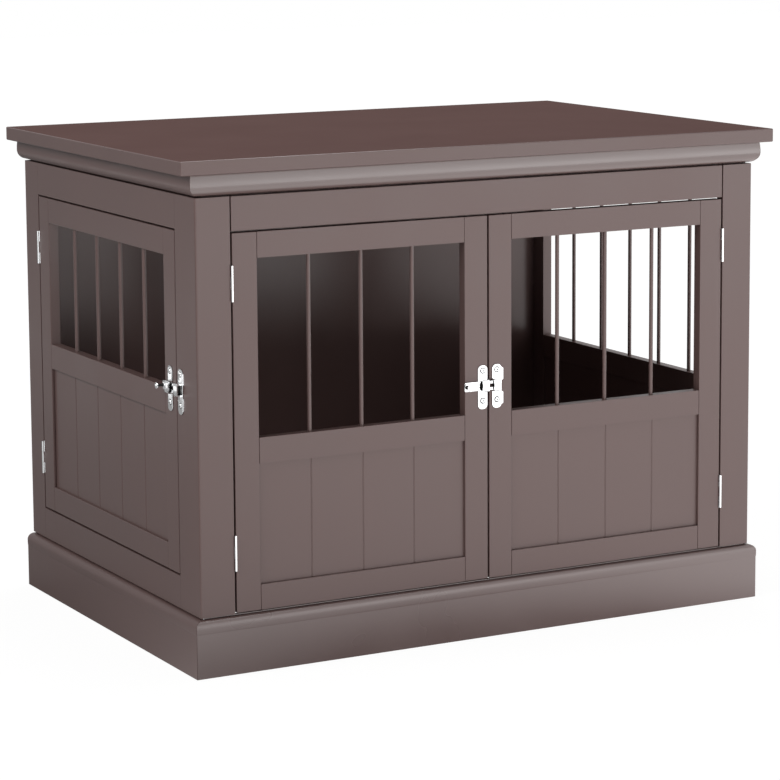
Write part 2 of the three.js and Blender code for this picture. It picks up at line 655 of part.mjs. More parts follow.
// The back is one board, wider at its foot where the side walls' boards stand further out.
function backGeometry() {
  const top = SLAB_BOTTOM - JOINT_GAP;
  const waist = BOARD_THICKNESS + JOINT_GAP;
  const footX = BOARD_THICKNESS - PLINTH_SIDE_PROJECTION + JOINT_GAP;
  const leftSide = [[footX, 0], [footX, PLINTH_TOP], [waist, PLINTH_TOP], [waist, top]];
  const rightSide = leftSide.map(([x, z]) => [BODY_WIDTH - x, z]).reverse();
  const board = extrude(outlineShape([...leftSide, ...rightSide]), BACK_THICKNESS);
  return board.rotateX(Math.PI / 2).translate(0, INNER_BACK + BACK_THICKNESS, 0);
}

function addFloorAndBack(group) {
  const xSpan = grown([0, BODY_WIDTH], -BOARD_THICKNESS - JOINT_GAP);
  const ySpan = [BOARD_THICKNESS + FLOOR_FRONT_SETBACK, INNER_BACK - JOINT_GAP];
  addPiece(group, 'floor_panel', box(xSpan, ySpan, [POST_BOTTOM, POST_BOTTOM + FLOOR_THICKNESS]), paint());
  addPiece(group, 'back_panel', backGeometry(), paint());
}

// ---------------------------------------------------------------- assembly
function buildCrate() {
  const crate = new THREE.Group();
  addTop(crate);
  addPlinth(crate);
  addPosts(crate);
  addFixedRails(crate);
  addFixedWindow(crate);
  addFloorAndBack(crate);

  const leftDoorX = POST_FACE_WIDTH + DOOR_GAP;
  const rightDoorX = leftDoorX + FRONT_DOOR_WIDTH + DOOR_GAP;
  const leftDoor = buildFrontDoor('left_door', leftDoorX, false);
  const rightDoor = buildFrontDoor('right_door', rightDoorX, true);
  const sideDoor = buildSideDoor();
  addLatch(leftDoor, 'front', {
    doorWidth: FRONT_DOOR_WIDTH,
    baseInset: FRONT_LATCH_INSET,
    boltReach: FRONT_BOLT_REACH,
    height: FRONT_LATCH_HEIGHT - FRONT_DOOR_BOTTOM,
  });
  addLatch(sideDoor, 'side', {
    doorWidth: SIDE_DOOR_WIDTH,
    baseInset: SIDE_LATCH_INSET,
    boltReach: SIDE_BOLT_REACH,
    height: SIDE_LATCH_HEIGHT - SIDE_DOOR_BOTTOM,
  });
  crate.add(leftDoor, rightDoor, sideDoor);
  return crate;
}

const crate = buildCrate();
const depthCentre = (BODY_DEPTH + SLAB_REAR_OVERHANG - SLAB_FRONT_OVERHANG) / 2;
crate.position.set(-BODY_WIDTH / 2, -depthCentre, 0);

const dogCrateEndTable = new THREE.Group();
dogCrateEndTable.add(crate);

export default dogCrateEndTable;
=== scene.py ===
# %% [markdown]
# # Dressing a dog crate end table
# The crate is a painted wooden cabinet: a thick top, barred doors in front and on the left side, and
# bright sliding latches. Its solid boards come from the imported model, already in their places.
# This lesson gives them eased edges, paint and metal, models the small hardware by hand, and then
# sets up the light and the camera. Everything is in metres.

# %% Load the crate
import math

import bmesh
import bpy
from mathutils import Matrix, Vector


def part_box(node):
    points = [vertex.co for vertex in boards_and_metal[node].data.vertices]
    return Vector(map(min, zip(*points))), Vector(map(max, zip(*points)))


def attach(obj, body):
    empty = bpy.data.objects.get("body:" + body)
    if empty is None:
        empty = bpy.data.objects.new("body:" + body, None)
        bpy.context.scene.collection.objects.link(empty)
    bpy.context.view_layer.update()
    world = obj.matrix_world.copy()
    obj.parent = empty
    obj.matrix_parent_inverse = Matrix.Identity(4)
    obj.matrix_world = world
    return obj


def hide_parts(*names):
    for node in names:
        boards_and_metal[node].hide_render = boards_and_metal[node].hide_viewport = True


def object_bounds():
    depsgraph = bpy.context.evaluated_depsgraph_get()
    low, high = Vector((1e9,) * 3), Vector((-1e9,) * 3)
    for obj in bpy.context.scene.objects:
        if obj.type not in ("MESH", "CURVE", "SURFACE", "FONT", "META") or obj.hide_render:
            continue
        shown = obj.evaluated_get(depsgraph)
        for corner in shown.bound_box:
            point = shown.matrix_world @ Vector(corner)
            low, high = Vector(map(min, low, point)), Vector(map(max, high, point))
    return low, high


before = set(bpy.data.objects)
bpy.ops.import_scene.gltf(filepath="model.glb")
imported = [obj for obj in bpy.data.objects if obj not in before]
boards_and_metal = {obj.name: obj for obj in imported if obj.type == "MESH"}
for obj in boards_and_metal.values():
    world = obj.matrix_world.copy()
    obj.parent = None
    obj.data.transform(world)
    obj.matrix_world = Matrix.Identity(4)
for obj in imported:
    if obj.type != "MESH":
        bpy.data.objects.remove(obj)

solid_low, solid_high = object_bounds()
size_of_crate = [round(high - low, 4) for low, high in zip(solid_low, solid_high)]
print("the crate has", len(boards_and_metal), "solid pieces and measures", size_of_crate)

# %% [markdown]
# ## Sorting the pieces
# Wood has a grain, and painted boards show it faintly as long shallow waves under the paint. The waves
# follow the length of each board: upwards on posts, stiles and panels, sideways on rails and mouldings.
# So the pieces are sorted by the direction in which their board was sawn.

# %% Sort the pieces by the direction of their grain
METAL_ENDINGS = ("_leaf", "_latch_base", "_latch_bolt", "_latch_keeper")
FRONT_RAILS = ("left_door_", "right_door_", "front_top_")
ACROSS_BOARDS = ("crown_front", "plinth_front", "table_top", "floor_panel")
DEEP_BOARDS = ("crown_left", "crown_right", "plinth_left", "plinth_right")


def grain_of(name):
    if name.endswith(METAL_ENDINGS):
        return "metal"
    if name.endswith("_bars"):
        return "bars"
    if name.endswith("_rail"):
        return "x" if name.startswith(FRONT_RAILS) else "y"
    if name in ACROSS_BOARDS:
        return "x"
    if name in DEEP_BOARDS:
        return "y"
    return "z"


grain = {name: grain_of(name) for name in boards_and_metal}
for direction in ("x", "y", "z", "bars", "metal"):
    print(direction, "has", sum(1 for d in grain.values() if d == direction), "pieces")

# %% [markdown]
# ## Easing the edges
# No real board ends in a perfect knife edge: it is sanded before it is painted, and the small round
# catches the light. The solid pieces are loose triangles, so a short node modifier first merges their
# corners and shades them smoothly, and a Bevel modifier then rounds each sharp edge by a hair.
# A modifier is the right tool here because the solid itself must stay as it is. The posts and the rails
# between them are sanded flush, so their joints hardly show and get the smallest round.

# %% A modifier that merges corners and shades smoothly
def make_merge_group(name, sharp_angle):
    group = bpy.data.node_groups.new(name, "GeometryNodeTree")
    group.interface.new_socket("Geometry", in_out="INPUT", socket_type="NodeSocketGeometry")
    group.interface.new_socket("Geometry", in_out="OUTPUT", socket_type="NodeSocketGeometry")
    nodes, links = group.nodes, group.links
    start = nodes.new("NodeGroupInput")
    drop = nodes.new("GeometryNodeRemoveAttribute")
    drop.inputs["Name"].default_value = "custom_normal"
    merge = nodes.new("GeometryNodeMergeByDistance")
    merge.inputs["Distance"].default_value = 0.00002
    smooth = nodes.new("GeometryNodeSetShadeSmooth")
    smooth.inputs["Shade Smooth"].default_value = True
    edge_angle = nodes.new("GeometryNodeInputMeshEdgeAngle")
    is_sharp = nodes.new("FunctionNodeCompare")
    is_sharp.operation = "GREATER_THAN"
    is_sharp.inputs["B"].default_value = sharp_angle
    sharpen = nodes.new("GeometryNodeSetShadeSmooth")
    sharpen.domain = "EDGE"
    sharpen.inputs["Shade Smooth"].default_value = False
    end = nodes.new("NodeGroupOutput")
    links.new(start.outputs[0], drop.inputs["Geometry"])
    links.new(drop.outputs["Geometry"], merge.inputs["Geometry"])
    links.new(merge.outputs["Geometry"], smooth.inputs["Geometry"])
    links.new(smooth.outputs["Geometry"], sharpen.inputs["Geometry"])
    links.new(edge_angle.outputs["Unsigned Angle"], is_sharp.inputs["A"])
    links.new(is_sharp.outputs["Result"], sharpen.inputs["Selection"])
    links.new(sharpen.outputs["Geometry"], end.inputs[0])
    return group


merge_for_boards = make_merge_group("merge_boards", math.radians(180))
merge_for_metal = make_merge_group("merge_metal", math.radians(38))
print("two node groups merge corners:", merge_for_boards.name, merge_for_metal.name)

# %% Ease the edges of the boards
BOARD_EASE = 0.0008
MOULDING_EASE = 0.0006
FLUSH_EASE = 0.00025
MOULDINGS = ("crown_", "plinth_")
FLUSH_BOARDS = ("post_", "left_top_", "left_bottom_")


def ease_of(name):
    if name.startswith(FLUSH_BOARDS):
        return FLUSH_EASE
    return MOULDING_EASE if name.startswith(MOULDINGS) else BOARD_EASE


def add_merge(piece, group):
    modifier = piece.modifiers.new("merge", "NODES")
    modifier.node_group = group


def ease_edges(piece, width, segments=2):
    bevel = piece.modifiers.new("ease", "BEVEL")
    bevel.width = width
    bevel.segments = segments
    bevel.limit_method = "ANGLE"
    bevel.angle_limit = math.radians(40)
    bevel.use_clamp_overlap = False
    flatten = piece.modifiers.new("keep_faces_flat", "WEIGHTED_NORMAL")
    flatten.mode = "FACE_AREA"
    flatten.weight = 60


for name, piece in boards_and_metal.items():
    if grain[name] in ("metal", "bars"):
        add_merge(piece, merge_for_metal)
    else:
        add_merge(piece, merge_for_boards)
        ease_edges(piece, ease_of(name))
print("eased", sum(1 for d in grain.values() if d in "xyz"), "boards by", BOARD_EASE * 1000, "mm")

# %% [markdown]
# ## Paint
# The boards carry a sprayed grey brown paint with a soft sheen. Its colour is nearly even, so the
# detail is in the surface: long low waves from the grain, a fine spray texture, and small changes of
# gloss. One function makes the paint for a grain direction. The crown, the front plinth board, the back
# panel and the table top get another gloss, chosen by comparing the picture with a photograph. The real
# boards are most likely all painted alike.

# %% A helper for procedural materials
NOISE_SPAN = (0.3, 0.7)


def new_material(name):
    material = bpy.data.materials.new(name)
    material.use_nodes = True
    return material, material.node_tree.nodes, material.node_tree.links


def stretched_noise(nodes, links, coords, scale, detail, roughness=0.5):
    mapping = nodes.new("ShaderNodeMapping")
    mapping.inputs["Scale"].default_value = scale
    noise = nodes.new("ShaderNodeTexNoise")
    noise.inputs["Scale"].default_value = 1.0
    noise.inputs["Detail"].default_value = detail
    noise.inputs["Roughness"].default_value = roughness
    links.new(coords.outputs["Object"], mapping.inputs["Vector"])
    links.new(mapping.outputs["Vector"], noise.inputs["Vector"])
    return noise.outputs["Fac"]


def map_range(nodes, links, value, span, results):
    spread = nodes.new("ShaderNodeMapRange")
    spread.inputs["From Min"].default_value, spread.inputs["From Max"].default_value = span
    spread.inputs["To Min"].default_value, spread.inputs["To Max"].default_value = results
    links.new(value, spread.inputs["Value"])
    return spread.outputs["Result"]


def two_tone(nodes, links, factor, dark, light):
    mix = nodes.new("ShaderNodeMix")
    mix.data_type = "RGBA"
    mix.inputs["A"].default_value = dark
    mix.inputs["B"].default_value = light
    links.new(factor, mix.inputs["Factor"])
    return mix.outputs["Result"]


def bumped(nodes, links, height, distance, strength, below=None):
    bump = nodes.new("ShaderNodeBump")
    bump.inputs["Distance"].default_value = distance
    bump.inputs["Strength"].default_value = strength
    links.new(height, bump.inputs["Height"])
    if below is not None:
        links.new(below, bump.inputs["Normal"])
    return bump.outputs["Normal"]


print("material helpers are ready")

# %% The paint
PAINT_DARK = (0.118, 0.072, 0.067, 1)
PAINT_LIGHT = (0.136, 0.085, 0.079, 1)
ALONG, ACROSS = 9.0, 240.0


def make_paint(name, axis, roughness=0.4, specular=0.5):
    material, nodes, links = new_material(name)
    shader = nodes["Principled BSDF"]
    coords = nodes.new("ShaderNodeTexCoord")
    scale = [ALONG if letter == axis else ACROSS for letter in "xyz"]
    waves = stretched_noise(nodes, links, coords, scale, 4)
    clouds = stretched_noise(nodes, links, coords, (7, 7, 7), 3)
    spray = stretched_noise(nodes, links, coords, (900, 900, 900), 2)
    links.new(two_tone(nodes, links, clouds, PAINT_DARK, PAINT_LIGHT), shader.inputs["Base Color"])
    gloss = (roughness - 0.04, roughness + 0.04)
    links.new(map_range(nodes, links, clouds, NOISE_SPAN, gloss), shader.inputs["Roughness"])
    grain_bump = bumped(nodes, links, waves, 0.0002, 0.12)
    links.new(bumped(nodes, links, spray, 0.00005, 0.12, grain_bump), shader.inputs["Normal"])
    shader.inputs["Specular IOR Level"].default_value = specular
    return material


paints = {axis: make_paint(f"paint_along_{axis}", axis) for axis in "xyz"}
glossy_paints = {
    "crown_front": make_paint("crown_paint", "x", 0.24, 0.93),
    "plinth_front": make_paint("plinth_paint", "x", 0.3, 1.0),
    "back_panel": make_paint("back_board_paint", "z", 0.22, 0.28),
}
for name, piece in boards_and_metal.items():
    if grain[name] in paints:
        piece.material_slots[0].material = glossy_paints.get(name, paints[grain[name]])
print("three paints, one for each direction of the grain, and three glossier ones")

# %% [markdown]
# The upper face of the table top is rubbed down to a flat matt finish that mirrors nothing, its sides
# keep the sheen, and the rounded edge between them is glossier. A second node modifier picks the faces
# by how far they look up and gives each kind its own finish.

# %% Finishes of the table top
def add_finish(nodes, links, geometry, upward, least, material):
    looks_up = nodes.new("FunctionNodeCompare")
    looks_up.operation = "GREATER_THAN"
    looks_up.inputs["B"].default_value = least
    coat = nodes.new("GeometryNodeSetMaterial")
    coat.inputs["Material"].default_value = material
    links.new(upward, looks_up.inputs["A"])
    links.new(geometry, coat.inputs["Geometry"])
    links.new(looks_up.outputs["Result"], coat.inputs["Selection"])
    return coat.outputs["Geometry"]


def make_top_group(edge_paint, matt_paint):
    group = bpy.data.node_groups.new("finishes_of_the_top", "GeometryNodeTree")
    group.interface.new_socket("Geometry", in_out="INPUT", socket_type="NodeSocketGeometry")
    group.interface.new_socket("Geometry", in_out="OUTPUT", socket_type="NodeSocketGeometry")
    nodes, links = group.nodes, group.links
    start = nodes.new("NodeGroupInput")
    normal = nodes.new("GeometryNodeInputNormal")
    split = nodes.new("ShaderNodeSeparateXYZ")
    links.new(normal.outputs["Normal"], split.inputs["Vector"])
    with_edge = add_finish(nodes, links, start.outputs[0], split.outputs["Z"], 0.3, edge_paint)
    with_top = add_finish(nodes, links, with_edge, split.outputs["Z"], 0.97, matt_paint)
    end = nodes.new("NodeGroupOutput")
    links.new(with_top, end.inputs[0])
    return group


matt_lacquer = make_paint("matt_lacquer", "x", 0.75, 0.0)
edge_lacquer = make_paint("edge_lacquer", "x", 0.3, 0.5)
finishes = boards_and_metal["table_top"].modifiers.new("finishes", "NODES")
finishes.node_group = make_top_group(edge_lacquer, matt_lacquer)
print("the table's upper face is matt and its rounded edge is glossy")

# %% [markdown]
# ## Painted bars
# The bars are thin metal rods in the same paint. Metal has no grain, so their paint is smoother.

# %% Paint for the bars
def make_bar_paint():
    material, nodes, links = new_material("paint_on_metal_bars")
    shader = nodes["Principled BSDF"]
    coords = nodes.new("ShaderNodeTexCoord")
    clouds = stretched_noise(nodes, links, coords, (12, 12, 12), 2)
    spray = stretched_noise(nodes, links, coords, (1100, 1100, 1100), 2)
    links.new(two_tone(nodes, links, clouds, PAINT_DARK, PAINT_LIGHT), shader.inputs["Base Color"])
    links.new(map_range(nodes, links, clouds, NOISE_SPAN, (0.36, 0.44)), shader.inputs["Roughness"])
    links.new(bumped(nodes, links, spray, 0.00005, 0.1), shader.inputs["Normal"])
    return material


bar_paint = make_bar_paint()
for name, piece in boards_and_metal.items():
    if grain[name] == "bars":
        piece.material_slots[0].material = bar_paint
print("bars painted")

# %% [markdown]
# ## Bright metal
# Hinges and latches are polished and plated. Such metal is all reflection; what makes it real are
# slight changes of gloss and hair-fine scratches. The plates' rims, the insides of the bridges, the bolt's
# slot, the knob's neck and the screws' recesses get a near-black metal instead: that is painted shade.

# %% Plated metal
BRIGHT_LOW, BRIGHT_HIGH = (0.86, 0.87, 0.88, 1), (0.93, 0.935, 0.94, 1)
# near-black colours of the painted shade on the latch metal, with a faint random mottle
PAINTED_SHADE_LOW, PAINTED_SHADE_HIGH = (0.012, 0.012, 0.012, 1), (0.03, 0.029, 0.028, 1)


def make_bright_metal():
    material, nodes, links = new_material("bright_plated_metal")
    shader = nodes["Principled BSDF"]
    shader.inputs["Metallic"].default_value = 1.0
    coords = nodes.new("ShaderNodeTexCoord")
    haze = stretched_noise(nodes, links, coords, (300, 300, 300), 3)
    scratches = stretched_noise(nodes, links, coords, (2600, 2600, 120), 2)
    links.new(two_tone(nodes, links, haze, BRIGHT_LOW, BRIGHT_HIGH), shader.inputs["Base Color"])
    links.new(map_range(nodes, links, haze, NOISE_SPAN, (0.08, 0.16)), shader.inputs["Roughness"])
    links.new(bumped(nodes, links, scratches, 0.00002, 0.15), shader.inputs["Normal"])
    return material


# painted shade: a near-black metal put on rims, bridge insides, slots, knob necks and screw recesses
def make_painted_shade_metal():
    material, nodes, links = new_material("metal_with_painted_shade")
    shader = nodes["Principled BSDF"]
    shader.inputs["Metallic"].default_value = 0.6
    shader.inputs["Roughness"].default_value = 0.6
    coords = nodes.new("ShaderNodeTexCoord")
    shade_mottle = stretched_noise(nodes, links, coords, (400, 400, 400), 3)
    links.new(two_tone(nodes, links, shade_mottle, PAINTED_SHADE_LOW, PAINTED_SHADE_HIGH), shader.inputs["Base Color"])
    return material


bright_metal = make_bright_metal()
painted_shade_metal = make_painted_shade_metal()
for name, piece in boards_and_metal.items():
    if grain[name] == "metal":
        piece.material_slots[0].material = bright_metal
print("metal pieces:", sum(1 for d in grain.values() if d == "metal"))

# %% [markdown]
# ## Latches by hand
# A latch is three pieces: a base plate with a bridge, a flat forked bolt that slides through it, and a
# keeper on the other side of the gap. Each is modelled lying on its back, with x towards the keeper, y
# up and z out of the door, and is stood up against the wood only when it is done. First some small
# tools: a block, rounding of chosen edges, and joining or cutting with a Boolean modifier.

# %% Small modelling tools
MM = 0.001


def add_block(name, low, high):
    bpy.ops.object.select_all(action="DESELECT")
    centre = [(a + b) / 2 * MM for a, b in zip(low, high)]
    bpy.ops.mesh.primitive_cube_add(size=1, location=centre)
    block = bpy.context.active_object
    block.name = name
    block.scale = [(b - a) * MM for a, b in zip(low, high)]
    bpy.ops.object.transform_apply(location=True, rotation=True, scale=True)
    return block


def add_disc(name, radius, low_z, high_z, x=0, y=0, sides=32):
    bpy.ops.object.select_all(action="DESELECT")
    height = (high_z - low_z) * MM
    place = (x * MM, y * MM, (low_z + high_z) / 2 * MM)
    bpy.ops.mesh.primitive_cylinder_add(vertices=sides, radius=radius * MM, depth=height, location=place)
    disc = bpy.context.active_object
    disc.name = name
    bpy.ops.object.transform_apply(location=True, rotation=True, scale=True)
    return disc


def make_active(piece):
    bpy.ops.object.select_all(action="DESELECT")
    piece.select_set(True)
    bpy.context.view_layer.objects.active = piece


def round_edges(piece, is_wanted, width, segments):
    make_active(piece)
    bpy.ops.object.mode_set(mode="EDIT")
    bpy.ops.mesh.select_mode(type="EDGE")
    bpy.ops.mesh.select_all(action="DESELECT")
    mesh = bmesh.from_edit_mesh(piece.data)
    for edge in mesh.edges:
        ends = [vertex.co / MM for vertex in edge.verts]
        edge.select_set(is_wanted(*ends))
    bmesh.update_edit_mesh(piece.data)
    bpy.ops.mesh.bevel(offset=width * MM, segments=segments, affect="EDGES")
    bpy.ops.object.mode_set(mode="OBJECT")


def combine(piece, tool, operation):
    make_active(piece)
    boolean = piece.modifiers.new("combine", "BOOLEAN")
    boolean.operation = operation
    boolean.solver = "EXACT"
    boolean.material_mode = "TRANSFER"
    boolean.object = tool
    bpy.ops.object.modifier_apply(modifier=boolean.name)
    bpy.data.objects.remove(tool)


def is_upright(first, second):
    return abs(first.x - second.x) < 0.01 and abs(first.y - second.y) < 0.01


def at_height(height):
    return lambda first, second: abs(first.z - height) < 0.01 and abs(second.z - height) < 0.01


print("modelling tools are ready")

# %% [markdown]
# ### Plate and bridge
# The plate starts as a flat block. Its four upright edges are rounded so far that the ends look almost
# like half discs, and the rim gets a fine round. The bridge is a second block with rounded shoulders
# that is joined on, and a flat block cuts the channel for the bolt. The two dished holes for the screws
# are cut last of all, so that nothing joined on later can fill them again.

# %% A plate with its bridge
PLATE_WIDTH, PLATE_HEIGHT, PLATE_THICKNESS, PLATE_CORNER = 15.5, 64, 1.2, 6.5
SCREW_OFFSETS = (-19.5, 24.5)
DISH_RADIUS, DISH_BOTTOM = 4.6, 0.5
BOLT_RISE = 2.5
BRIDGE_HALF, BRIDGE_TOP, BRIDGE_SETBACK = 9.25, 8, 4.6
CHANNEL_HALF, CHANNEL_TOP = 7.0, 6.8
HALF_PLATE = PLATE_WIDTH / 2


def make_plate(name):
    half = (HALF_PLATE, PLATE_HEIGHT / 2)
    plate = add_block(name, (-half[0], -half[1], 0), (half[0], half[1], PLATE_THICKNESS))
    round_edges(plate, is_upright, PLATE_CORNER, 8)
    round_edges(plate, at_height(PLATE_THICKNESS), 0.35, 2)
    plate.data.materials.append(bright_metal)
    # the plate's rim faces get the near-black metal: a painted shade line round each plate
    plate.data.materials.append(painted_shade_metal)
    for face in plate.data.polygons:
        face.material_index = 1 if abs(face.normal.z) < 0.2 else 0
    return plate


def cut_dishes(plate):
    for offset in SCREW_OFFSETS:
        # the dish round each screw head is near-black: painted shade round the screw
        dish = add_disc("dish", DISH_RADIUS, DISH_BOTTOM, PLATE_THICKNESS + 1, y=offset)
        dish.data.materials.append(painted_shade_metal)
        combine(plate, dish, "DIFFERENCE")
    return plate


def add_bridge(plate, low_x, high_x):
    low, high = BOLT_RISE - BRIDGE_HALF, BOLT_RISE + BRIDGE_HALF
    bridge = add_block("bridge", (low_x, low, PLATE_THICKNESS / 2), (high_x, high, BRIDGE_TOP))
    round_edges(bridge, lambda a, b: at_height(BRIDGE_TOP)(a, b) and abs(a.y - b.y) < 0.01, 3.2, 6)
    combine(plate, bridge, "UNION")
    channel_low = (low_x - 1, BOLT_RISE - CHANNEL_HALF, PLATE_THICKNESS)
    channel = add_block("channel", channel_low, (high_x + 1, BOLT_RISE + CHANNEL_HALF, CHANNEL_TOP))
    round_edges(channel, lambda a, b: at_height(CHANNEL_TOP)(a, b) and abs(a.y - b.y) < 0.01, 2.0, 5)
    # the channel's walls inside the bridge are near-black: painted shade
    channel.data.materials.append(painted_shade_metal)
    combine(plate, channel, "DIFFERENCE")
    return plate


def make_base(name):
    return cut_dishes(add_bridge(make_plate(name), -HALF_PLATE + BRIDGE_SETBACK, HALF_PLATE))


print("a plate is", PLATE_WIDTH, "by", PLATE_HEIGHT, "mm")

# %% [markdown]
# ### Keeper
# The keeper is the same plate with the bridge at its near edge. Two short lips reach back over the gap
# to guide the fork, and two low flanges stand out along its far edge.

# %% The keeper
LIP_REACH, LIP_INNER, LIP_OUTER, LIP_ROOT = 5.7, 2.7, 6.6, 7.5
LIP_LOW, LIP_HIGH = 3.7, 4.9
FLANGE_WIDTH, FLANGE_THICKNESS, FLANGE_SPAN = 3, 0.8, (8.5, 26.5)


def add_lip(keeper, side):
    for reach, outer, high in ((LIP_REACH, LIP_OUTER, LIP_HIGH), (0.4, LIP_ROOT, LIP_HIGH - 0.05)):
        low_y, high_y = sorted((BOLT_RISE + side * LIP_INNER, BOLT_RISE + side * outer))
        low = (-HALF_PLATE - reach, low_y, LIP_LOW)
        lip = add_block("lip", low, (-HALF_PLATE + 2, high_y, high))
        round_edges(lip, lambda a, b: is_upright(a, b) and a.x < -HALF_PLATE - 1, 0.8, 3)
        combine(keeper, lip, "UNION")


def add_flange(keeper, side):
    low_y, high_y = sorted((side * FLANGE_SPAN[0], side * FLANGE_SPAN[1]))
    flange = add_block("flange", (0, low_y, 0.05), (HALF_PLATE + FLANGE_WIDTH, high_y, FLANGE_THICKNESS))
    round_edges(flange, lambda a, b: is_upright(a, b) and a.x > HALF_PLATE, 1.6, 4)
    combine(keeper, flange, "UNION")


def make_keeper(name):
    keeper = add_bridge(make_plate(name), -HALF_PLATE, HALF_PLATE - BRIDGE_SETBACK)
    for side in (-1, 1):
        add_lip(keeper, side)
        add_flange(keeper, side)
    return cut_dishes(keeper)


print("a keeper reaches", LIP_REACH, "mm back over the gap")

# %% [markdown]
# ### Bolt and knob
# The bolt is a flat block with a slot cut into its tip. Its knob grows out of a disc: the top face is
# extruded again and again, and scaled after each step, like turning it on a lathe. The narrow neck under
# its head and the walls of the slot are near-black metal: painted shade.

# %% The bolt with its knob
BOLT_LENGTH, BOLT_HALF, BOLT_LOW, BOLT_HIGH = 41, 6.6, 1.5, 3.3
SLOT_LENGTH, SLOT_HALF = 15, 2.7
KNOB_X = -BOLT_LENGTH + 3.2
NECK_SPAN = (1.0, 6.5)
KNOB_STEPS = ((0.5, 3.0), (1.1, 1.8), (6.0, 1.8), (1.6, 3.8), (0.7, 4.6), (0.9, 4.7), (0.5, 4.3), (0.3, 3.2))


def grow_knob():
    knob = add_disc("knob", 3.0, BOLT_HIGH - 0.4, BOLT_HIGH + 0.4)
    make_active(knob)
    bpy.ops.object.mode_set(mode="EDIT")
    bpy.ops.mesh.select_mode(type="FACE")
    bpy.ops.mesh.select_all(action="DESELECT")
    mesh = bmesh.from_edit_mesh(knob.data)
    for face in mesh.faces:
        face.select_set(face.calc_center_median().z > (BOLT_HIGH + 0.3) * MM)
    bmesh.update_edit_mesh(knob.data)
    radius = 3.0
    for rise, next_radius in KNOB_STEPS:
        bpy.ops.mesh.extrude_region_move(TRANSFORM_OT_translate={"value": (0, 0, rise * MM)})
        scale = next_radius / radius
        bpy.ops.transform.resize(value=(scale, scale, 1))
        radius = next_radius
    bpy.ops.object.mode_set(mode="OBJECT")
    knob.data.materials.append(bright_metal)
    # the neck under the knob's head is near-black: painted shade under the head
    knob.data.materials.append(painted_shade_metal)
    for face in knob.data.polygons:
        height = face.center.z / MM - BOLT_HIGH
        face.material_index = 1 if NECK_SPAN[0] < height < NECK_SPAN[1] else 0
    knob.location.x = KNOB_X * MM
    bpy.ops.object.transform_apply(location=True, rotation=False, scale=False)
    return knob


def make_bolt(name):
    bolt = add_block(name, (-BOLT_LENGTH, -BOLT_HALF, BOLT_LOW), (0, BOLT_HALF, BOLT_HIGH))
    round_edges(bolt, is_upright, 2.0, 4)
    bolt.data.materials.append(bright_metal)
    # the slot's walls are near-black: painted shade in the slot
    slot = add_block("slot", (-SLOT_LENGTH, -SLOT_HALF, 0), (1, SLOT_HALF, BRIDGE_TOP))
    slot.data.materials.append(painted_shade_metal)
    combine(bolt, slot, "DIFFERENCE")
    slot_end = add_disc("slot_end", SLOT_HALF - 0.02, 0, BRIDGE_TOP, x=-SLOT_LENGTH)
    slot_end.data.materials.append(painted_shade_metal)
    combine(bolt, slot_end, "DIFFERENCE")
    round_edges(bolt, at_height(BOLT_HIGH), 0.25, 2)
    combine(bolt, grow_knob(), "UNION")
    return bolt


print("the bolt is", BOLT_LENGTH, "mm long")

# %% [markdown]
# ### Standing the pieces up
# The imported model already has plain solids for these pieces. Their boxes tell where the door's face is
# and how far each piece reaches, so the detailed pieces take exactly their places. On the left side of
# the crate everything turns by a quarter: x of the latch then points forward.

# %% Put the latches in their places
def reach_of(node, faces_left):
    low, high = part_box(node)
    height = (low[2] + high[2]) / 2
    if faces_left:
        return -high[1], -low[1], high[0], height
    return low[0], high[0], high[1], height


def stand_up(piece, along, face, height, faces_left):
    make_active(piece)
    piece.rotation_euler = (math.pi / 2, 0, -math.pi / 2 if faces_left else 0)
    piece.location = (face, -along, height) if faces_left else (along, face, height)
    bpy.ops.object.transform_apply(location=True, rotation=True, scale=True)


def tidy_mesh(piece, angle=35):
    make_active(piece)
    bpy.ops.object.mode_set(mode="EDIT")
    bpy.ops.mesh.select_all(action="SELECT")
    bpy.ops.mesh.remove_doubles(threshold=0.000004)
    bpy.ops.mesh.normals_make_consistent(inside=False)
    bpy.ops.object.mode_set(mode="OBJECT")
    bpy.ops.object.shade_smooth_by_angle(angle=math.radians(angle))


def finish_metal(piece, body):
    tidy_mesh(piece)
    if not piece.data.materials:
        piece.data.materials.append(bright_metal)
    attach(piece, body)


def place_latch(prefix, door, bolt_body, keeper_body, faces_left):
    base_low, base_high, face, height = reach_of(f"{prefix}_latch_base", faces_left)
    tip, bolt_height = reach_of(f"{prefix}_latch_bolt", faces_left)[1::2]
    far_edge = reach_of(f"{prefix}_latch_keeper", faces_left)[1]
    base_middle = (base_low + base_high) / 2
    keeper_middle = far_edge - (FLANGE_WIDTH + HALF_PLATE) * MM
    parts = (
        (make_base, "base", base_middle, height, door),
        (make_bolt, "bolt", tip, bolt_height, bolt_body),
        (make_keeper, "keeper", keeper_middle, height, keeper_body),
    )
    for make, part, along, part_height, body in parts:
        piece = make(f"{prefix}_{part}_plate" if part != "bolt" else f"{prefix}_sliding_bolt")
        stand_up(piece, along, face, part_height, faces_left)
        finish_metal(piece, body)
        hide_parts(f"{prefix}_latch_{part}")
    return base_middle, keeper_middle, face, height


front_latch = place_latch("front", "left_front_door", "front_bolt", "right_front_door", False)
side_latch = place_latch("side", "side_door", "side_bolt", "carcass", True)
print("front latch at", [round(v, 4) for v in front_latch])

# %% [markdown]
# ### Screws
# Each plate is held by two screws with domed heads and a cross recess. A head is a disc whose rim is
# rounded by a bevel, and two thin blocks cut the cross.

# %% Screws
HEAD_RADIUS, HEAD_HEIGHT = 3.7, 2.2
CROSS_LENGTH, CROSS_HALF_WIDTH, CROSS_DEPTH = 2.1, 0.42, 0.9


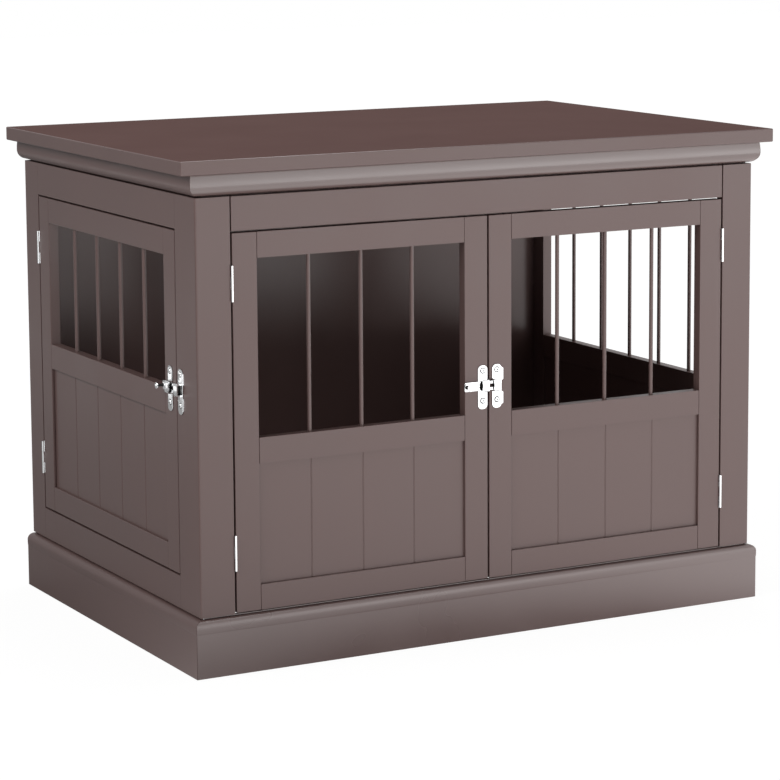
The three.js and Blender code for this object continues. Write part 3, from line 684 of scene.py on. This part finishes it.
def cut_cross(screw, top, length, depth):
    for along_x in (True, False):
        x, y = (length, CROSS_HALF_WIDTH) if along_x else (CROSS_HALF_WIDTH, length)
        cross = add_block("cross", (-x, -y, top - depth), (x, y, top + 1))
        # the cross recess is near-black: painted shade in the hollow
        cross.data.materials.append(painted_shade_metal)
        combine(screw, cross, "DIFFERENCE")


def make_domed_screw(name, low_z):
    screw = add_disc(name, HEAD_RADIUS, low_z, low_z + HEAD_HEIGHT)
    screw.data.materials.append(bright_metal)
    round_edges(screw, at_height(low_z + HEAD_HEIGHT), 1.7, 6)
    cut_cross(screw, low_z + HEAD_HEIGHT, CROSS_LENGTH, CROSS_DEPTH)
    return screw


def make_screws(name, make, offsets):
    screws = []
    for offset, turn in offsets:
        screw = make(name)
        screw.rotation_euler = (0, 0, turn)
        screw.location = (0, offset * MM, 0)
        make_active(screw)
        bpy.ops.object.transform_apply(location=True, rotation=True, scale=True)
        screws.append(screw)
    make_active(screws[0])
    for screw in screws[1:]:
        screw.select_set(True)
    bpy.ops.object.join()
    return bpy.context.active_object


def screw_plate(name, along, face, height, faces_left, body):
    offsets = [(offset, 0.4 + 0.05 * offset) for offset in SCREW_OFFSETS]
    domed = make_screws(name, lambda label: make_domed_screw(label, DISH_BOTTOM - 0.05), offsets)
    stand_up(domed, along, face, height, faces_left)
    finish_metal(domed, body)


for prefix, latch, door, keeper_body, faces_left in (
    ("front", front_latch, "left_front_door", "right_front_door", False),
    ("side", side_latch, "side_door", "carcass", True),
):
    base_middle, keeper_middle, face, height = latch
    screw_plate(f"{prefix}_base_screws", base_middle, face, height, faces_left, door)
    screw_plate(f"{prefix}_keeper_screws", keeper_middle, face, height, faces_left, keeper_body)
print("eight domed screws hold the plates")

# %% [markdown]
# ### Hinge screws
# The hinge leaves stand face to face in the narrow gap beside a door, so their screws are flush. They
# show when the door is open. Each leaf has three, and a leaf's box tells where its middle is.

# %% Flush screws in the hinge leaves
FLUSH_RADIUS, FLUSH_RISE, FLUSH_SEAT = 2.4, 0.06, 0.2
LEAF_OFFSETS = ((-17, 0.3), (0, 0.9), (17, 0.1))
LEAF_HALF_GAP, LEAF_MIDDLE = 0.15, 6.4
TOWARDS_FRAME = {
    "left_door": Vector((-1, 0, 0)),
    "right_door": Vector((1, 0, 0)),
    "side_door": Vector((0, 1, 0)),
}
DOOR_BODIES = {"left_door": "left_front_door", "right_door": "right_front_door", "side_door": "side_door"}


def make_flush_screw(name):
    screw = add_disc(name, FLUSH_RADIUS, -FLUSH_SEAT, FLUSH_RISE, sides=24)
    screw.data.materials.append(bright_metal)
    cut_cross(screw, FLUSH_RISE, 1.5, FLUSH_SEAT)
    return screw


def leaf_middle(node, prefix):
    low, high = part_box(node)
    middle = [(a + b) / 2 for a, b in zip(low, high)]
    if prefix == "side_door":
        middle[0] = high[0] - LEAF_MIDDLE * MM
    else:
        middle[1] = high[1] - LEAF_MIDDLE * MM
    return Vector(middle)


def screw_leaf(prefix, level, kind):
    node = f"{prefix}_{level}_hinge_{kind}_leaf"
    to_leaf = TOWARDS_FRAME[prefix] if kind == "frame" else -TOWARDS_FRAME[prefix]
    screws = make_screws(f"{node}_screws", make_flush_screw, LEAF_OFFSETS)
    outward, upward = -to_leaf, Vector((0, 0, 1))
    turn = Matrix((upward.cross(outward), upward, outward)).transposed()
    place = leaf_middle(node, prefix) + to_leaf * LEAF_HALF_GAP * MM
    screws.matrix_world = Matrix.Translation(place) @ turn.to_4x4()
    make_active(screws)
    bpy.ops.object.transform_apply(location=True, rotation=True, scale=True)
    finish_metal(screws, "carcass" if kind == "frame" else DOOR_BODIES[prefix])


for prefix in TOWARDS_FRAME:
    for level in ("lower", "upper"):
        for kind in ("frame", "door"):
            screw_leaf(prefix, level, kind)
print("thirty-six flush screws hold the hinge leaves")

# %% [markdown]
# ## The room
# A studio picture stands on a pale floor in front of white. The world is white where the camera sees it,
# and a soft grey where it only lights the crate. What the gloss mirrors isn't even: it grows from half
# of white to a little over white towards the front right, where a studio has its large wall. A dark flag
# on the left gives the round screws and knobs a dark rim to set them off from their white plates.

# %% World
WORLD_LIGHT = 0.18
BRIGHT_SIDE = (0.57, -0.82, 0.0)
DARK_SIDE = (-0.88, -0.47, 0.05)
DARK_CONE, DARK_SHARES = (0.88, 0.95), (1, 0.02)
MIRROR_SPAN, MIRROR_GLOW = (-1, 0.5), (0.5, 1.2)


def dot_with(nodes, links, place, direction):
    dot = nodes.new("ShaderNodeVectorMath")
    dot.operation = "DOT_PRODUCT"
    dot.inputs[1].default_value = direction
    links.new(place, dot.inputs[0])
    return dot.outputs["Value"]


def calculate(nodes, links, operation, *values):
    step = nodes.new("ShaderNodeMath")
    step.operation = operation
    for socket, value in zip(step.inputs, values):
        links.new(value, socket)
    return step.outputs[0]


def shine(nodes, links, place, span, strengths):
    """A strength that grows along BRIGHT_SIDE."""
    return map_range(nodes, links, dot_with(nodes, links, place, BRIGHT_SIDE), span, strengths)


def darken_spot(nodes, links, direction, strength):
    """Takes the strength away inside a soft cone round DARK_SIDE."""
    left = map_range(nodes, links, dot_with(nodes, links, direction, DARK_SIDE), DARK_CONE, DARK_SHARES)
    return calculate(nodes, links, "MULTIPLY", strength, left)


def make_world():
    world = bpy.data.worlds.new("studio_world")
    world.use_nodes = True
    nodes, links = world.node_tree.nodes, world.node_tree.links
    nodes.clear()
    path = nodes.new("ShaderNodeLightPath")
    coords = nodes.new("ShaderNodeTexCoord")
    lights = {}
    for use in ("lighting", "backdrop", "mirrored"):
        lights[use] = nodes.new("ShaderNodeBackground")
        lights[use].inputs["Color"].default_value = (1, 1, 1, 1)
    lights["lighting"].inputs["Strength"].default_value = WORLD_LIGHT
    lights["backdrop"].inputs["Strength"].default_value = 1.0
    bright = shine(nodes, links, coords.outputs["Generated"], MIRROR_SPAN, MIRROR_GLOW)
    mirrored = darken_spot(nodes, links, coords.outputs["Generated"], bright)
    links.new(mirrored, lights["mirrored"].inputs["Strength"])
    with_mirrors = nodes.new("ShaderNodeMixShader")
    links.new(path.outputs["Is Glossy Ray"], with_mirrors.inputs["Fac"])
    links.new(lights["lighting"].outputs[0], with_mirrors.inputs[1])
    links.new(lights["mirrored"].outputs[0], with_mirrors.inputs[2])
    rays = (path.outputs["Is Camera Ray"], path.outputs["Is Transmission Ray"])
    seen = calculate(nodes, links, "MAXIMUM", *rays)
    with_backdrop = nodes.new("ShaderNodeMixShader")
    out = nodes.new("ShaderNodeOutputWorld")
    links.new(seen, with_backdrop.inputs["Fac"])
    links.new(with_mirrors.outputs[0], with_backdrop.inputs[1])
    links.new(lights["backdrop"].outputs[0], with_backdrop.inputs[2])
    links.new(with_backdrop.outputs[0], out.inputs["Surface"])
    return world


bpy.context.scene.world = make_world()
print("world light", WORLD_LIGHT)

# %% [markdown]
# The floor does more than a plain floor would. For the camera it glows almost white and keeps a faint
# shadow. For glossy rays it glows as a painted reflection: dark close to the crate and brighter than white
# further out on the bright side, with painted reflections of a card and a far wall added. For diffuse rays
# it glows and throws light up at the boards. These strengths were fitted to one picture, so under a plain
# floor the sheen of the boards looks different.

# %% Floor
FLOOR_COLOUR = (0.12, 0.12, 0.12, 1)
CAMERA_SPAN, CAMERA_GLOW = (0.8, 3.0), (0.93, 1.0)
GLOSS_SPAN, GLOSS_GLOW = (-0.5, 0.5), (0.25, 1.8)
NEAR_SPAN, NEAR_SHARES = (0.4, 0.7), (0.1, 1)
WALL_SPAN, WALL_GLOW = (3.3, 4.3), (0, 1.0)
CARD_PLACE, CARD_SPAN, CARD_GLOW = (-1.86, 2.3, 0), (0.7, 0.85), (1.0, 0)
CAST_SPAN, CAST_GLOW = (-0.4, 0.5), (0.12, 1.45)


def make_floor_glow(nodes, links):
    path = nodes.new("ShaderNodeLightPath")
    place = nodes.new("ShaderNodeTexCoord").outputs["Object"]
    distance = nodes.new("ShaderNodeVectorMath")
    distance.operation = "LENGTH"
    links.new(place, distance.inputs[0])
    from_card = nodes.new("ShaderNodeVectorMath")
    from_card.operation = "DISTANCE"
    from_card.inputs[1].default_value = CARD_PLACE
    links.new(place, from_card.inputs[0])
    glow_here = map_range(nodes, links, distance.outputs["Value"], CAMERA_SPAN, CAMERA_GLOW)
    seen = calculate(nodes, links, "MULTIPLY", path.outputs["Is Camera Ray"], glow_here)
    shown = shine(nodes, links, place, GLOSS_SPAN, GLOSS_GLOW)
    nearby = map_range(nodes, links, distance.outputs["Value"], NEAR_SPAN, NEAR_SHARES)
    faded = calculate(nodes, links, "MULTIPLY", shown, nearby)
    # painted reflections of a card and a far wall, glowing in the floor for glossy rays only
    card_reflection_glow = map_range(nodes, links, from_card.outputs["Value"], CARD_SPAN, CARD_GLOW)
    far_wall_reflection_glow = shine(nodes, links, place, WALL_SPAN, WALL_GLOW)
    with_painted_reflections = calculate(nodes, links, "ADD", calculate(nodes, links, "ADD", faded, far_wall_reflection_glow), card_reflection_glow)
    mirrored = calculate(nodes, links, "MULTIPLY_ADD", path.outputs["Is Glossy Ray"], with_painted_reflections, seen)
    thrown_up = shine(nodes, links, place, CAST_SPAN, CAST_GLOW)
    return calculate(nodes, links, "MULTIPLY_ADD", path.outputs["Is Diffuse Ray"], thrown_up, mirrored)


def make_floor_material():
    material, nodes, links = new_material("studio_floor")
    nodes.clear()
    matt = nodes.new("ShaderNodeBsdfDiffuse")
    matt.inputs["Color"].default_value = FLOOR_COLOUR
    glow = nodes.new("ShaderNodeEmission")
    links.new(make_floor_glow(nodes, links), glow.inputs["Strength"])
    total = nodes.new("ShaderNodeAddShader")
    out = nodes.new("ShaderNodeOutputMaterial")
    links.new(matt.outputs[0], total.inputs[0])
    links.new(glow.outputs[0], total.inputs[1])
    links.new(total.outputs[0], out.inputs["Surface"])
    return material


bpy.ops.mesh.primitive_plane_add(size=30, location=(0, 0, -0.0002))
floor = bpy.context.active_object
floor.name = "studio_floor"
floor.data.materials.append(make_floor_material())
print("floor is", floor.dimensions.x, "m wide")

# %% [markdown]
# ## Light
# Three large soft lamps light the crate: a weak one in front and to the right, which looks in through
# the bars, a strong one on the left, and one overhead for the table top. The fronts get much of their
# light from the glowing floor instead.

# %% Lamps
def add_softbox(name, place, target, size, power):
    lamp = bpy.data.lights.new(name, "AREA")
    lamp.shape = "RECTANGLE"
    lamp.size, lamp.size_y = size
    lamp.energy = power
    holder = bpy.data.objects.new(name, lamp)
    bpy.context.scene.collection.objects.link(holder)
    holder.location = place
    aim = Vector(target) - Vector(place)
    holder.rotation_euler = aim.to_track_quat("-Z", "Y").to_euler()
    return holder


SOFTBOXES = (
    ("key_softbox", (1.62, -2.62, 0.85), (0, 0, 0.4), (2.4, 1.6), 14),
    ("left_softbox", (-2.55, -0.5, 2.0), (-0.4, 0, 0.35), (1.8, 1.2), 42),
    ("overhead_softbox", (0.6, 0.3, 3.1), (0.1, 0.1, 0.7), (1.8, 1.4), 42),
)
for softbox in SOFTBOXES:
    add_softbox(*softbox)
print(len(SOFTBOXES), "softboxes")

# %% [markdown]
# ## Camera
# The camera stands to the left of the crate, above its top, and looks slightly down. Its lens is long,
# so the boards hardly converge.

# %% Camera
CAMERA_PLACE = Vector((-2.0752528, -3.8743603, 1.1011145))
YAW, PITCH, ROLL = 0.505106409725152, 0.13841561643271202, -0.004928763544016576
FOCAL_PIXELS, CENTRE_X, CENTRE_Y = 2896.745394619747, 424.72352074044426, 278.83871320890336
PICTURE = 780

forward = Vector((math.sin(YAW) * math.cos(PITCH), math.cos(YAW) * math.cos(PITCH), -math.sin(PITCH)))
right = Vector((math.cos(YAW), -math.sin(YAW), 0))
up = right.cross(forward)
turned_right = right * math.cos(ROLL) + up * math.sin(ROLL)
turned_up = up * math.cos(ROLL) - right * math.sin(ROLL)
lens = bpy.data.cameras.new("portrait_camera")
lens.sensor_fit = "HORIZONTAL"
lens.sensor_width = 36
lens.lens = FOCAL_PIXELS / PICTURE * 36
lens.shift_x = (PICTURE / 2 - CENTRE_X) / PICTURE
lens.shift_y = (CENTRE_Y - PICTURE / 2) / PICTURE
camera = bpy.data.objects.new("portrait_camera", lens)
bpy.context.scene.collection.objects.link(camera)
turn = Matrix((turned_right, turned_up, -forward)).transposed()
camera.matrix_world = Matrix.Translation(CAMERA_PLACE) @ turn.to_4x4()
bpy.context.scene.camera = camera
bpy.context.scene.view_settings.view_transform = "Standard"
print("lens", round(lens.lens, 2), "mm at", [round(v, 3) for v in CAMERA_PLACE])
